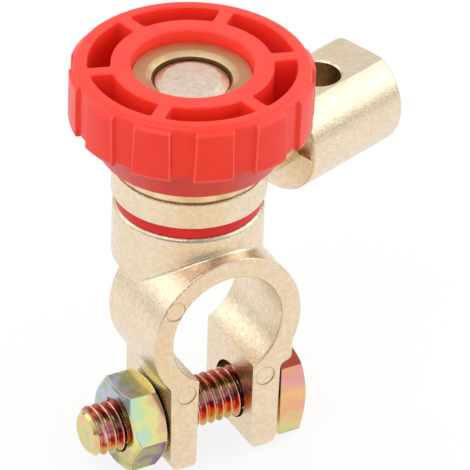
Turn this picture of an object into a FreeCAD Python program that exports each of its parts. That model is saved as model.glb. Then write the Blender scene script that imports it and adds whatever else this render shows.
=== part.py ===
import FreeCAD, Part
import math
import os

# Battery disconnect switch for a post clamp.
# Millimetres. The origin is the centre of the battery post bore. +Y runs along
# that bore, +X along the clamp bolt towards its head, +Z up the knob axis.

# Post clamp
post_bore_radius = 9.2
post_ring_wall = 3.25
clamp_front = 6.95
clamp_back = 7.65
slit_width = 9.0
slit_draft_deg = 0.5
ear_thickness = 4.85
ear_draft_deg = 1.2
ear_below_bolt = 6.4
ear_outer_corner = 1.6
ear_inner_corner = 0.9
ear_root_fillet = 1.1
ledge_reach = 1.9
ledge_height = 3.4
ledge_above_bolt = 8.1
ledge_corner = 1.2
face_edge_round = 0.3
ejector_mark_radius = 1.55
ejector_mark_depth = 0.12

# Clamp bolt and nut, 5/16-18 UNC
bolt_radius = 3.95
bolt_length = 30.0
bolt_tip_chamfer = 0.8
bolt_below_post = 3.75
bolt_head_width = 12.2
bolt_head_thickness = 4.4
bolt_head_chamfer_deg = 20.0
bolt_head_gap = 0.6
bolt_hole_clearance = 0.6
bolt_hole_lift = 0.45
nut_across_flats = 13.0
nut_thickness = 5.75
nut_clearance = 0.05
nut_gap = 0.1
nut_rest_turn_deg = 2.5
nut_chamfer_deg = 30.0
nut_face_inset = 0.25

# Screw socket on top of the clamp
socket_offset = 6.4
socket_radius = 11.4
socket_rise = 3.45
socket_height = 9.1
socket_top_round = 0.8
socket_root_fillet = 0.7
web_over_post = 2.2
spigot_wall = 2.05
peened_rim_reach = 1.2
peened_rim_thickness = 0.9

# Insulating bush and washer
bush_flange_radius = 11.0
bush_flange_thickness = 2.0
bush_wall = 0.8
bush_clearance = 0.05
retaining_washer_radius = 9.0
retaining_washer_thickness = 1.0

# Terminal ring, arm and barrel
terminal_ring_radius = 11.65
terminal_ring_height = 4.4
terminal_seat_thickness = 1.7
terminal_swivel_clearance = 0.1
terminal_recess_clearance = 0.3
terminal_edge_round = 0.3
arm_azimuth_deg = 18.4
neck_radius = 5.6
neck_axis_rise = 1.4
neck_socket_gap = 0.9
barrel_radius = 8.5
barrel_length = 19.7
barrel_ring_gap = 6.93
barrel_axis_drop = 0.1
barrel_flat_height = 7.36
barrel_end_round = 0.4
barrel_step_drop = 0.4
knob_sweep_clearance = 2.0
lug_hole_radius = 3.5
lug_hole_from_end = 10.15
lug_hole_depth = 12.0
lug_hole_countersink = 0.25

# Contact washer and contact screw
contact_washer_radius = 11.3
contact_washer_thickness = 1.5
contact_washer_clearance = 0.35
contact_thread_radius = 4.9
contact_thread_clearance = 0.05
contact_screw_end_gap = 0.8
contact_screw_end_chamfer = 0.8
stud_radius = 5.65
stud_bevel_width = 1.35
stud_bevel_height = 0.6
stud_drop = 0.7

# Brass insert in the knob
insert_radius = 8.95
insert_flange_radius = 10.5
insert_flange_thickness = 2.4
insert_fit = 0.02
insert_dish_radius = 6.97
insert_dish_depth = 0.3
insert_chamfer_radius = 6.0
insert_chamfer_depth = 0.5
insert_groove_depth = 0.9

# Knob
knob_height = 14.68
knob_skirt_gap = 1.1
knob_rim_radius = 17.6
knob_rim_wall = 2.11
knob_rim_height = 8.98
knob_rim_top_round = 1.0
knob_rim_foot_round = 0.5
knob_skirt_radius = 13.6
knob_rim_overhang = 1.4
knob_skirt_round = 0.4
knob_hub_wall = 2.96
knob_hub_recess = 1.88
knob_hub_lip = 0.16
knob_hub_chamfer = 0.25
knob_flange_clearance = 0.9
knob_pocket_depth = 8.0
knob_spoke_count = 6
knob_spoke_width = 2.1
knob_spoke_azimuth_deg = 42.4
knob_pad_count = 12
knob_pad_height = 0.6
knob_pad_arc_deg = 19.0
knob_pad_azimuth_deg = 12.4
knob_pad_top_drop = 0.7
knob_pad_foot_drop = 0.35
knob_pad_round = 0.28

# Places worked out from the sizes above
post_ring_radius = post_bore_radius + post_ring_wall
slit_half = slit_width / 2.0
ear_outer_x = slit_half + ear_thickness
bolt_z = -(post_bore_radius + bolt_below_post + bolt_radius)
ear_bottom_z = bolt_z - ear_below_bolt
ear_top_z = -math.sqrt(post_ring_radius ** 2 - ear_outer_x ** 2)
bolt_head_x = ear_outer_x + bolt_head_gap
nut_inner_x = -(ear_outer_x + nut_gap)
socket_top_z = post_ring_radius + socket_rise
socket_bottom_z = socket_top_z - socket_height
spigot_radius = contact_thread_radius + contact_thread_clearance + spigot_wall
terminal_bottom_z = socket_top_z + bush_flange_thickness
terminal_top_z = terminal_bottom_z + terminal_ring_height
terminal_seat_z = terminal_bottom_z + terminal_seat_thickness
terminal_recess_radius = retaining_washer_radius + terminal_recess_clearance
spigot_top_z = terminal_seat_z + retaining_washer_thickness
bush_bore_radius = spigot_radius + bush_clearance
bush_sleeve_radius = bush_bore_radius + bush_wall
terminal_bore_radius = bush_sleeve_radius + terminal_swivel_clearance
contact_z = terminal_top_z + contact_washer_thickness
barrel_start = terminal_ring_radius + barrel_ring_gap
barrel_axis_z = terminal_bottom_z - barrel_axis_drop
thread_floor_z = post_bore_radius + web_over_post
knob_bottom_z = contact_z + knob_skirt_gap
knob_top_z = knob_bottom_z + knob_height
insert_top_z = knob_top_z - knob_hub_recess
knob_pad_radius = knob_rim_radius + knob_pad_height

X = FreeCAD.Vector(1, 0, 0)
Y = FreeCAD.Vector(0, 1, 0)
Z = FreeCAD.Vector(0, 0, 1)
KNOB_AXIS = FreeCAD.Vector(0, socket_offset, 0)


def vec(x, y, z):
    return FreeCAD.Vector(x, y, z)


def post(radius, z_low, z_high):
    """A cylinder on the knob axis between two heights."""
    return Part.makeCylinder(radius, z_high - z_low, vec(0, socket_offset, z_low), Z)


def tube(radius_outer, radius_inner, z_low, z_high):
    return post(radius_outer, z_low, z_high).cut(post(radius_inner, z_low, z_high))


def turned(points):
    """A solid of revolution about the knob axis from (radius, height) points."""
    loop = [vec(r, socket_offset, z) for r, z in points]
    wire = Part.makePolygon(loop + [loop[0]])
    return Part.Face(wire).revolve(KNOB_AXIS, Z, 360)


def about_knob(shape, azimuth_deg):
    shape.rotate(KNOB_AXIS, Z, azimuth_deg)
    return shape


def prism(points, y_low, y_high):
    """An outline of (x, z) points pulled along Y."""
    loop = [vec(x, y_low, z) for x, z in points]
    wire = Part.makePolygon(loop + [loop[0]])
    return Part.Face(wire).extrude(vec(0, y_high - y_low, 0))


def edges_where(shape, test):
    return [edge for edge in shape.Edges if test(edge)]


def is_along(edge, direction):
    if not isinstance(edge.Curve, Part.Line):
        return False
    return abs(abs(edge.tangentAt(edge.FirstParameter).dot(direction)) - 1) < 1e-6


def is_round(edge):
    return isinstance(edge.Curve, Part.Circle)


# Clamp body: post ring, two ears, bolt ledge, screw socket and spigot

def ear(side):
    """One ear, its outer face drawn in towards the foot."""
    lean = math.tan(math.radians(ear_draft_deg)) * (ear_top_z - ear_bottom_z)
    outline = [
        (0, 0),
        (side * ear_outer_x, 0),
        (side * ear_outer_x, ear_top_z),
        (side * (ear_outer_x - lean), ear_bottom_z),
        (0, ear_bottom_z),
    ]
    return prism(outline, -clamp_front, clamp_back)


def bolt_ledge():
    """The shoulder over the bolt head that stops the head from turning."""
    foot = bolt_z + ledge_above_bolt
    outline = [
        (0, foot),
        (ear_outer_x + ledge_reach, foot),
        (ear_outer_x + ledge_reach, foot + ledge_height),
        (0, foot + ledge_height),
    ]
    return prism(outline, -clamp_front, clamp_back)


def slit():
    spread = math.tan(math.radians(slit_draft_deg)) * -ear_bottom_z
    outline = [
        (-slit_half, 0),
        (slit_half, 0),
        (slit_half + spread, ear_bottom_z - 1),
        (-slit_half - spread, ear_bottom_z - 1),
    ]
    return prism(outline, -2 * clamp_front, 2 * clamp_back)


def round_outline(shape):
    """Rounds the corners of the clamp's outline, which run along Y."""
    def outer_foot(edge):
        at = edge.CenterOfMass
        return is_along(edge, Y) and at.z < ear_bottom_z + 0.1 and abs(at.x) > slit_half + 2

    def inner_foot(edge):
        at = edge.CenterOfMass
        return is_along(edge, Y) and at.z < ear_bottom_z + 0.1 and abs(at.x) < slit_half + 2

    def ledge_tip(edge):
        at = edge.CenterOfMass
        foot = bolt_z + ledge_above_bolt
        return is_along(edge, Y) and abs(at.z - foot) < 0.1 and at.x > ear_outer_x + 0.5

    shape = shape.makeFillet(ear_outer_corner, edges_where(shape, outer_foot))
    shape = shape.makeFillet(ear_inner_corner, edges_where(shape, inner_foot))
    return shape.makeFillet(ledge_corner, edges_where(shape, ledge_tip))


def ear_roots(shape):
    """The concave corners where the ears leave the ring and the ledge."""
    def root(edge):
        at = edge.CenterOfMass
        beside = abs(abs(at.x) - ear_outer_x) < 0.2
        return is_along(edge, Y) and beside and at.z > bolt_z + bolt_radius

    return shape.makeFillet(ear_root_fillet, edges_where(shape, root))


def ejector_marks():
    """Shallow discs that the mould's pins leave on the front face."""
    ear_x = slit_half + ear_thickness * 0.45
    ear_z = bolt_z + 7.1
    ring_mid = (post_bore_radius + post_ring_radius) / 2
    left = vec(-ear_x, -clamp_front, ear_z)
    right = vec(ear_x, -clamp_front, ear_z - 0.6)
    ring_at = math.radians(146)
    top = vec(ring_mid * math.cos(ring_at), -clamp_front, ring_mid * math.sin(ring_at))
    places = (left, right, top)
    marks = [Part.makeCylinder(ejector_mark_radius, ejector_mark_depth, at, Y) for at in places]
    return Part.makeCompound(marks)


def on_end_face(edge):
    at = edge.CenterOfMass
    return abs(at.y + clamp_front) < 1e-4 or abs(at.y - clamp_back) < 1e-4


def screw_spigot():
    """The spigot over the socket and the rim peened over at its top."""
    stem = post(spigot_radius, socket_top_z - 1, spigot_top_z + peened_rim_thickness)
    rim = post(spigot_radius + peened_rim_reach, spigot_top_z, spigot_top_z + peened_rim_thickness)

    def upper(edge):
        return edge.CenterOfMass.z > spigot_top_z + 0.1 and is_round(edge)

    return stem.fuse(rim.makeFillet(peened_rim_thickness * 0.6, edges_where(rim, upper)))


def make_clamp_body():
    ring = Part.makeCylinder(post_ring_radius, clamp_front + clamp_back, vec(0, -clamp_front, 0), Y)
    bore = Part.makeCylinder(post_bore_radius, 4 * socket_radius, vec(0, -2 * clamp_front, 0), Y)
    body = ring.fuse([ear(1), ear(-1), bolt_ledge()]).removeSplitter()
    body = ear_roots(body)
    body = body.cut([bore, slit()])
    body = round_outline(body)
    body = body.makeFillet(face_edge_round, edges_where(body, on_end_face))
    socket = post(socket_radius, socket_bottom_z, socket_top_z)
    top_rim = edges_where(socket, lambda edge: edge.CenterOfMass.z > socket_top_z - 0.1)
    socket = socket.makeFillet(socket_top_round, top_rim)
    body = body.fuse(socket).removeSplitter()
    body = blend_socket(body)
    thread = post(contact_thread_radius + contact_thread_clearance, thread_floor_z, spigot_top_z + 5)
    hole_at = vec(-2 * ear_outer_x, 0, bolt_z + bolt_hole_lift)
    holes = Part.makeCylinder(bolt_radius + bolt_hole_clearance, 4 * ear_outer_x, hole_at, X)
    return body.fuse(screw_spigot()).cut([bore, thread, holes, ejector_marks()]).removeSplitter()


def blend_socket(shape):
    """The concave fillet where the socket leaves the top of the post ring."""
    def seam(edge):
        at = edge.CenterOfMass
        high = at.z > socket_bottom_z + 0.3 and at.z < socket_top_z - socket_top_round - 0.2
        return high and at.y < socket_offset and not isinstance(edge.Curve, (Part.Line, Part.Circle))

    return shape.makeFillet(socket_root_fillet, edges_where(shape, seam))


# Insulators

def make_insulating_bush():
    """A flanged sleeve that keeps the terminal ring off the socket and spigot."""
    flange = tube(bush_flange_radius, bush_bore_radius, socket_top_z, terminal_bottom_z)
    sleeve = tube(bush_sleeve_radius, bush_bore_radius, socket_top_z, terminal_seat_z)
    return flange.fuse(sleeve).removeSplitter()


def make_retaining_washer():
    """The insulating washer under the spigot's peened rim."""
    return tube(retaining_washer_radius, bush_bore_radius, terminal_seat_z, spigot_top_z)


# Terminal: ring, neck and barrel in one casting

def barrel():
    """The round barrel along +X from the ring, with its flat and stepped near end."""
    start = vec(barrel_start, socket_offset, barrel_axis_z)
    body = Part.makeCylinder(barrel_radius, barrel_length, start, X)
    body = body.makeFillet(barrel_end_round, edges_where(body, is_round))
    flat = Part.makeBox(2 * barrel_length, 4 * barrel_radius, barrel_radius)
    flat.translate(vec(barrel_start - 1, socket_offset - 2 * barrel_radius, barrel_axis_z + barrel_flat_height))
    sweep = post(knob_pad_radius + knob_sweep_clearance, barrel_axis_z - barrel_step_drop, knob_top_z)
    return body.cut([flat, sweep])


def neck():
    """The round bar between the ring and the barrel, cut level with the ring's top."""
    at = vec(0, socket_offset, terminal_bottom_z + neck_axis_rise)
    bar = Part.makeCylinder(neck_radius, barrel_start + barrel_length / 2, at, X)
    above = post(barrel_start + barrel_length, terminal_top_z, knob_top_z)
    below = post(socket_radius + neck_socket_gap, -post_ring_radius, terminal_bottom_z)
    return bar.cut([above, below])


def lug_hole():
    """The blind cross hole for a cable lug's screw, down from the barrel's flat."""
    from_axis = barrel_start + barrel_length - lug_hole_from_end
    flat_z = barrel_axis_z + barrel_flat_height
    floor = vec(from_axis, socket_offset, flat_z - lug_hole_depth)
    hole = Part.makeCylinder(lug_hole_radius, lug_hole_depth + 1, floor, Z)
    mouth = vec(from_axis, socket_offset, flat_z - lug_hole_countersink)
    spread = 2 * lug_hole_countersink
    cone = Part.makeCone(lug_hole_radius, lug_hole_radius + spread, spread, mouth, Z)
    return hole.fuse(cone)


def make_terminal():
    ring = post(terminal_ring_radius, terminal_bottom_z, terminal_top_z)
    ring = ring.makeFillet(terminal_edge_round, edges_where(ring, is_round))
    body = ring.fuse([neck(), barrel()])
    recess = post(terminal_recess_radius, terminal_seat_z, knob_top_z)
    bore = post(terminal_bore_radius, 0, knob_top_z)
    body = body.cut([recess, bore, lug_hole()]).removeSplitter()
    return about_knob(body, arm_azimuth_deg)


# Contact washer and contact screw

def make_contact_washer():
    return tube(contact_washer_radius, contact_thread_radius + contact_washer_clearance, terminal_top_z, contact_z)


def make_contact_screw():
    """The screw that closes the switch: bevelled stud, shank and thread."""
    stud_top_z = insert_top_z - stud_drop
    end_z = thread_floor_z + contact_screw_end_gap
    return turned([
        (0, end_z),
        (contact_thread_radius - contact_screw_end_chamfer, end_z),
        (contact_thread_radius, end_z + contact_screw_end_chamfer),
        (contact_thread_radius, contact_z),
        (stud_radius, contact_z),
        (stud_radius, stud_top_z - stud_bevel_height),
        (stud_radius - stud_bevel_width, stud_top_z),
        (0, stud_top_z),
    ])


# Knob and its brass insert

def make_knob_insert():
    """The brass bush in the hub. Its flange presses on the contact washer."""
    bore = stud_radius + insert_fit
    dish_z = insert_top_z - insert_dish_depth
    groove_z = dish_z - insert_groove_depth
    return turned([
        (bore, contact_z),
        (insert_flange_radius, contact_z),
        (insert_flange_radius, contact_z + insert_flange_thickness),
        (insert_radius, contact_z + insert_flange_thickness),
        (insert_radius, insert_top_z),
        (insert_dish_radius, dish_z),
        (insert_chamfer_radius, dish_z - insert_chamfer_depth),
        (insert_chamfer_radius, groove_z),
        (bore, groove_z),
    ])


def knob_blank():
    """The knob turned from its profile, before the pads and pockets."""
    hub_bore = insert_radius + knob_hub_lip
    grip_bore = insert_radius + insert_fit
    flange_bore = insert_flange_radius + knob_flange_clearance
    flange_top = contact_z + insert_flange_thickness
    rim_foot = knob_top_z - knob_rim_height
    blank = turned([
        (grip_bore, flange_top),
        (flange_bore, flange_top),
        (flange_bore, knob_bottom_z),
        (knob_skirt_radius, knob_bottom_z),
        (knob_rim_radius - knob_rim_overhang, rim_foot),
        (knob_rim_radius, rim_foot),
        (knob_rim_radius, knob_top_z),
        (hub_bore + knob_hub_chamfer, knob_top_z),
        (hub_bore, knob_top_z - knob_hub_chamfer),
        (hub_bore, insert_top_z),
        (grip_bore, insert_top_z),
    ])

    def circle_at(radius, height):
        def test(edge):
            near = abs(edge.CenterOfMass.z - height) < 0.01
            return near and is_round(edge) and abs(edge.Curve.Radius - radius) < 0.01
        return edges_where(blank, test)

    blank = blank.makeFillet(knob_rim_top_round, circle_at(knob_rim_radius, knob_top_z))
    blank = blank.makeFillet(knob_rim_foot_round, circle_at(knob_rim_radius, rim_foot))
    return blank.makeFillet(knob_skirt_round, circle_at(knob_skirt_radius, knob_bottom_z))


def knob_pads():
    """Raised grip pads spaced evenly round the rim."""
    low = knob_top_z - knob_rim_height - knob_pad_foot_drop
    high = knob_top_z - knob_pad_top_drop
    root = knob_rim_radius - knob_rim_wall / 2
    pad = post(knob_pad_radius, low, high).cut(post(root, low, high))
    reach = 2 * knob_pad_radius
    half = math.radians(knob_pad_arc_deg / 2)
    wedge = Part.makePolygon([
        vec(0, socket_offset, low),
        vec(reach * math.cos(half), socket_offset - reach * math.sin(half), low),
        vec(reach * math.cos(half), socket_offset + reach * math.sin(half), low),
        vec(0, socket_offset, low),
    ])
    pad = pad.common(Part.Face(wedge).extrude(vec(0, 0, high - low)))

    def outer(edge):
        at = edge.CenterOfMass.sub(KNOB_AXIS)
        return math.hypot(at.x, at.y) > knob_pad_radius - knob_pad_height / 2

    pad = pad.makeFillet(knob_pad_round, edges_where(pad, outer))
    step = 360 / knob_pad_count
    return [about_knob(pad.copy(), knob_pad_azimuth_deg + i * step) for i in range(knob_pad_count)]


def knob_pockets():
    """The hollow between hub and rim, left in pieces by the spokes."""
    floor = knob_top_z - knob_pocket_depth
    hub = insert_radius + knob_hub_lip + knob_hub_wall
    hollow = tube(knob_rim_radius - knob_rim_wall, hub, floor, knob_top_z + 1)
    spokes = []
    for i in range(knob_spoke_count):
        spoke = Part.makeBox(knob_rim_radius, knob_spoke_width, knob_pocket_depth + 2)
        spoke.translate(vec(0, socket_offset - knob_spoke_width / 2, floor))
        spokes.append(about_knob(spoke, knob_spoke_azimuth_deg + i * 360 / knob_spoke_count))
    return hollow.cut(spokes)


def make_knob():
    return knob_blank().fuse(knob_pads()).cut(knob_pockets()).removeSplitter()


# Clamp bolt and nut

def make_clamp_bolt():
    """A square-headed bolt along X, its head outside the +X ear."""
    tip_x = bolt_head_x - bolt_length
    shank = Part.makeCylinder(bolt_radius, bolt_length, vec(tip_x, 0, bolt_z), X)
    tip = edges_where(shank, lambda edge: edge.CenterOfMass.x < tip_x + 0.1 and is_round(edge))
    shank = shank.makeChamfer(bolt_tip_chamfer, tip)
    half = bolt_head_width / 2
    head = Part.makeBox(bolt_head_thickness, bolt_head_width, bolt_head_width)
    head.translate(vec(bolt_head_x, -half, bolt_z - half))
    corner = half * math.sqrt(2)
    drop = (corner - half) * math.tan(math.radians(bolt_head_chamfer_deg))
    drum = Part.makeCylinder(corner, bolt_head_thickness - drop, vec(bolt_head_x, 0, bolt_z), X)
    cone_at = vec(bolt_head_x + bolt_head_thickness - drop, 0, bolt_z)
    dome = Part.makeCone(corner, half, drop, cone_at, X)
    return head.common(drum.fuse(dome)).fuse(shank).removeSplitter()


def make_clamp_nut():
    """A hexagon nut, chamfered on both faces, against the -X ear."""
    corner = nut_across_flats / math.sqrt(3)
    loop = []
    for i in range(7):
        turn = math.radians(nut_rest_turn_deg + 60 * i)
        loop.append(vec(nut_inner_x, -corner * math.cos(turn), bolt_z + corner * math.sin(turn)))
    body = Part.Face(Part.makePolygon(loop)).extrude(vec(-nut_thickness, 0, 0))
    face = nut_across_flats / 2 - nut_face_inset
    drop = (corner - face) * math.tan(math.radians(nut_chamfer_deg))
    outer_x = nut_inner_x - nut_thickness
    left = Part.makeCone(face, corner, drop, vec(outer_x, 0, bolt_z), X)
    drum = Part.makeCylinder(corner, nut_thickness - 2 * drop, vec(outer_x + drop, 0, bolt_z), X)
    right = Part.makeCone(corner, face, drop, vec(nut_inner_x - drop, 0, bolt_z), X)
    bore_at = vec(outer_x - nut_thickness, 0, bolt_z)
    bore = Part.makeCylinder(bolt_radius + nut_clearance, 3 * nut_thickness, bore_at, X)
    return body.common(left.fuse([drum, right])).cut(bore).removeSplitter()


NODES = {
    "clamp_body": make_clamp_body,
    "insulating_bush": make_insulating_bush,
    "retaining_washer": make_retaining_washer,
    "terminal": make_terminal,
    "contact_washer": make_contact_washer,
    "contact_screw": make_contact_screw,
    "knob_insert": make_knob_insert,
    "knob": make_knob,
    "clamp_bolt": make_clamp_bolt,
    "clamp_nut": make_clamp_nut,
}

os.makedirs("parts", exist_ok=True)
for name, make in NODES.items():
    shape = make()
    solids = shape.Solids
    print(name, "solids", len(solids), "valid", shape.isValid(), "volume", round(shape.Volume, 1))
    if len(solids) == 1:
        shape = solids[0]
    shape.exportStep("parts/" + name + ".step")
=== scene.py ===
import logging
import math
from collections.abc import Callable
from dataclasses import dataclass
from enum import Enum

import bmesh
import bpy
import numpy as np
from bmesh.types import BMesh
from bpy.types import ID, Material, Mesh, Node, NodeSocket, NodeTree, Object
from mathutils import Matrix, Vector


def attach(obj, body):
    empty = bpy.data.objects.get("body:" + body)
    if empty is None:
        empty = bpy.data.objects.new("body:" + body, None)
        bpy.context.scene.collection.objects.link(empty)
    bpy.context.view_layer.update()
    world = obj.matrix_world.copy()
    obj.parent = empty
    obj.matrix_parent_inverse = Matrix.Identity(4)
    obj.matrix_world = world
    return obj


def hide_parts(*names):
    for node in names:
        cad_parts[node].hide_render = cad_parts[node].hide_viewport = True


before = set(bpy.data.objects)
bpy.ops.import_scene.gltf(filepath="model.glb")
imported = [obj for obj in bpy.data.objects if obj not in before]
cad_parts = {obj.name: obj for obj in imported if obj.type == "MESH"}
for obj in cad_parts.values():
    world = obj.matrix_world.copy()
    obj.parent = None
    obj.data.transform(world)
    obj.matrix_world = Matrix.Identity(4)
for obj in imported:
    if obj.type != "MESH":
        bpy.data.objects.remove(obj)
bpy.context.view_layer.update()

# Looks of a battery disconnect switch. Sizes are in millimetres until a mesh is
# made, and the places are those of the CAD part: +Y along the battery post bore,
# +X along the clamp bolt towards its head, +Z up the knob axis.

log = logging.getLogger("disconnect_switch")

MM = 0.001
KNOB_AXIS = (0.0, 6.4)    # its X and Y
BOLT_AXIS = (0.0, -16.9)  # its Y and Z
SHARP_DEG = 28.0
FASTENER_SHARP_DEG = 12.0
KNOB_SHARP_DEG = 40.0
MERGE = 2e-7
CAD_MERGE = 1e-6
THREAD_MERGE = 3e-6
NO_LENGTH = 1e-8
CAD_NO_LENGTH = 1e-7
POLE = 1e-6
END_TURN = 1.01


class Axis(Enum):
    """The line that a turned or threaded piece is made about."""

    KNOB = "knob"
    BOLT = "bolt"


# Small helpers

def linear(code: str) -> tuple[float, float, float, float]:
    """Turns an sRGB hex colour into the linear values a shader reads.

    Args:
        code: six hex digits, such as "E8C8A0".
    Returns:
        Red, green, blue and an alpha of 1.
    """
    parts = [int(code[i:i + 2], 16) / 255 for i in (0, 2, 4)]
    values = [v / 12.92 if v <= 0.04045 else ((v + 0.055) / 1.055) ** 2.4 for v in parts]
    return (values[0], values[1], values[2], 1.0)


def per_mm(size: float) -> float:
    """The scale of a pattern whose features are `size` millimetres apart."""
    return 1.0 / (size * MM)


def fill(tree: NodeTree, node: Node, inputs: dict) -> None:
    """Links or sets a node's inputs, from values or output sockets by input name or number."""
    for key, value in inputs.items():
        if isinstance(value, NodeSocket):
            tree.links.new(value, node.inputs[key])
        else:
            node.inputs[key].default_value = value


def add_node(tree: NodeTree, kind: str, inputs: dict | None = None,
             **settings) -> Node:
    """Adds a node with its settings, and fills or links its inputs.

    Args:
        tree: the tree that gets the node.
        kind: the node's type name.
        inputs: values or output sockets by input name or number.
        settings: the node's own properties.
    Returns:
        The new node.
    """
    node = tree.nodes.new(kind)
    for name, value in settings.items():
        setattr(node, name, value)
    fill(tree, node, inputs or {})
    return node


def add_math(tree: NodeTree, operation: str, *values, **settings) -> NodeSocket:
    """A Math node on values or sockets."""
    node = add_node(tree, "ShaderNodeMath", dict(enumerate(values)), operation=operation, **settings)
    return node.outputs[0]


def add_vector(tree: NodeTree, operation: str, *values) -> Node:
    """A Vector Math node on values or sockets."""
    return add_node(tree, "ShaderNodeVectorMath", dict(enumerate(values)), operation=operation)


def map_range(tree: NodeTree, *values, kind: str = "LINEAR") -> NodeSocket:
    """Maps a value from one range to 0 to 1, or to a second range if that is given."""
    node = add_node(tree, "ShaderNodeMapRange", dict(enumerate(values)), interpolation_type=kind)
    return node.outputs[0]


def mix_colours(tree: NodeTree, share, one, two, blend: str = "MIX") -> NodeSocket:
    """Mixes two colours."""
    node = add_node(tree, "ShaderNodeMix", {0: share, 6: one, 7: two},
                    data_type="RGBA", blend_type=blend)
    return node.outputs[2]


def colour_ramp(tree: NodeTree, value: NodeSocket,
                stops: list[tuple[float, tuple]]) -> NodeSocket:
    """A colour ramp from (place, linear colour) stops."""
    node = add_node(tree, "ShaderNodeValToRGB", {0: value})
    band = node.color_ramp.elements
    while len(band) < len(stops):
        band.new(0.5)
    for element, (at, colour) in zip(band, stops):
        element.position = at
        element.color = colour
    return node.outputs[0]


def cleared_tree(block: ID) -> NodeTree:
    """The emptied node tree of a material or world."""
    block.use_nodes = True
    block.node_tree.nodes.clear()
    return block.node_tree


def place(radius, turn, along, axis: Axis) -> np.ndarray:
    """Puts polar coordinates about one of the axes into the part's frame.

    Args:
        radius: distance from the axis.
        turn: angle about the axis in radians.
        along: height on the knob axis, or X on the bolt axis.
        axis: which axis.
    Returns:
        An array of points, in millimetres.
    """
    radius, turn, along = np.broadcast_arrays(radius, turn, along)
    side, high = radius * np.cos(turn), radius * np.sin(turn)
    if axis is Axis.KNOB:
        return np.stack([KNOB_AXIS[0] + side, KNOB_AXIS[1] + high, along], -1)
    return np.stack([along, BOLT_AXIS[0] - side, BOLT_AXIS[1] + high], -1)


def rounded(points: list[tuple], radii: dict[int, float], steps: int = 5) -> list[tuple[float, float]]:
    """Rounds chosen corners of a line of points.

    Args:
        points: the corners.
        radii: the rounding radius by corner number.
        steps: spans in each arc.
    Returns:
        The points with arcs in place of those corners.
    """
    out = []
    for i, point in enumerate(points):
        radius = radii.get(i, 0)
        if not radius:
            out.append(tuple(point))
            continue
        here = np.array(point, float)
        before = np.array(points[i - 1], float) - here
        after = np.array(points[(i + 1) % len(points)], float) - here
        before /= np.linalg.norm(before)
        after /= np.linalg.norm(after)
        half = math.acos(np.clip(before @ after, -1, 1)) / 2
        mid = (before + after) / np.linalg.norm(before + after)
        centre = here + mid * radius / math.sin(half)
        start = here + before * radius / math.tan(half) - centre
        end = here + after * radius / math.tan(half) - centre
        first = math.atan2(start[1], start[0])
        sweep = (math.atan2(end[1], end[0]) - first + math.pi) % (2 * math.pi) - math.pi
        for k in range(steps + 1):
            turn = first + sweep * k / steps
            out.append((centre[0] + radius * math.cos(turn), centre[1] + radius * math.sin(turn)))
    return out


def smooth_mesh(mesh: Mesh, sharp_deg: float = SHARP_DEG) -> None:
    """Shades a mesh smooth and keeps its corners crisp."""
    mesh.shade_smooth()
    mesh.set_sharp_from_angle(angle=math.radians(sharp_deg))


def settle_normals(piece: Object, sharp_deg: float) -> None:
    """Lets large faces stay flat and gives the turn of the light to the small faces of their edges.

    Args:
        piece: the finished piece.
        sharp_deg: corners sharper than this stay crisp.
    """
    smooth_mesh(piece.data, sharp_deg)
    modifier = piece.modifiers.new("flat_faces", "WEIGHTED_NORMAL")
    modifier.mode = "FACE_AREA"
    modifier.weight = 100
    modifier.keep_sharp = True
    evaluated_mesh(piece)


def add_object(name: str, data: ID | BMesh) -> Object:
    """Puts a new object in the scene.

    Args:
        name: the object's name.
        data: a lamp, a camera, or a mesh in metres, which is freed.
    Returns:
        The new object, at the origin.
    """
    if isinstance(data, BMesh):
        build, data = data, bpy.data.meshes.new(name)
        build.to_mesh(data)
        build.free()
    made = bpy.data.objects.new(name, data)
    bpy.context.scene.collection.objects.link(made)
    return made


def add_piece(name: str, build: BMesh) -> Object:
    """Makes an object of a closed mesh, with its faces turned outwards.

    Args:
        name: the piece's name.
        build: the mesh in metres; it is freed.
    Returns:
        The new object, at the origin.
    """
    bmesh.ops.remove_doubles(build, verts=build.verts, dist=MERGE)
    bmesh.ops.dissolve_degenerate(build, edges=build.edges, dist=NO_LENGTH)
    bmesh.ops.recalc_face_normals(build, faces=build.faces)
    piece = add_object(name, build)
    smooth_mesh(piece.data)
    return piece


def add_strip(build: BMesh, one: list, two: list) -> None:
    """Joins two closed loops of vertices; a loop of one vertex is a pole."""
    count = max(len(one), len(two))
    for i in range(count):
        j = (i + 1) % count
        corners = [one[i % len(one)], one[j % len(one)], two[j % len(two)], two[i % len(two)]]
        corners = list(dict.fromkeys(corners))
        if len(corners) > 2:
            build.faces.new(corners)


def add_loop(build: BMesh, points: np.ndarray) -> list:
    """Adds a loop of points, given in millimetres, as vertices."""
    return [build.verts.new(p) for p in np.atleast_2d(points) * MM]


def skin(build: BMesh, loops: list[np.ndarray], wrap: bool) -> list[list]:
    """Covers a stack of loops with faces.

    Args:
        build: the mesh that gets them.
        loops: arrays of points, one point for a pole.
        wrap: whether the last loop joins the first one.
    Returns:
        The vertices of each loop.
    """
    rows = [add_loop(build, points) for points in loops]
    for one, two in zip(rows, rows[1:] + rows[:1] if wrap else rows[1:]):
        add_strip(build, one, two)
    return rows


def turned_loops(profile: list[tuple], turns: np.ndarray, axis: Axis) -> list[np.ndarray]:
    """Loops of points about an axis.

    Args:
        profile: (radius, along) of each loop; a radius of 0 gives one point, a pole.
        turns: the angles of the points in radians.
        axis: which axis.
    Returns:
        An array of points for each loop.
    """
    return [place(0.0, [0.0], z, axis) if np.max(r) < POLE else place(r, turns, z, axis)
            for r, z in profile]


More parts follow.
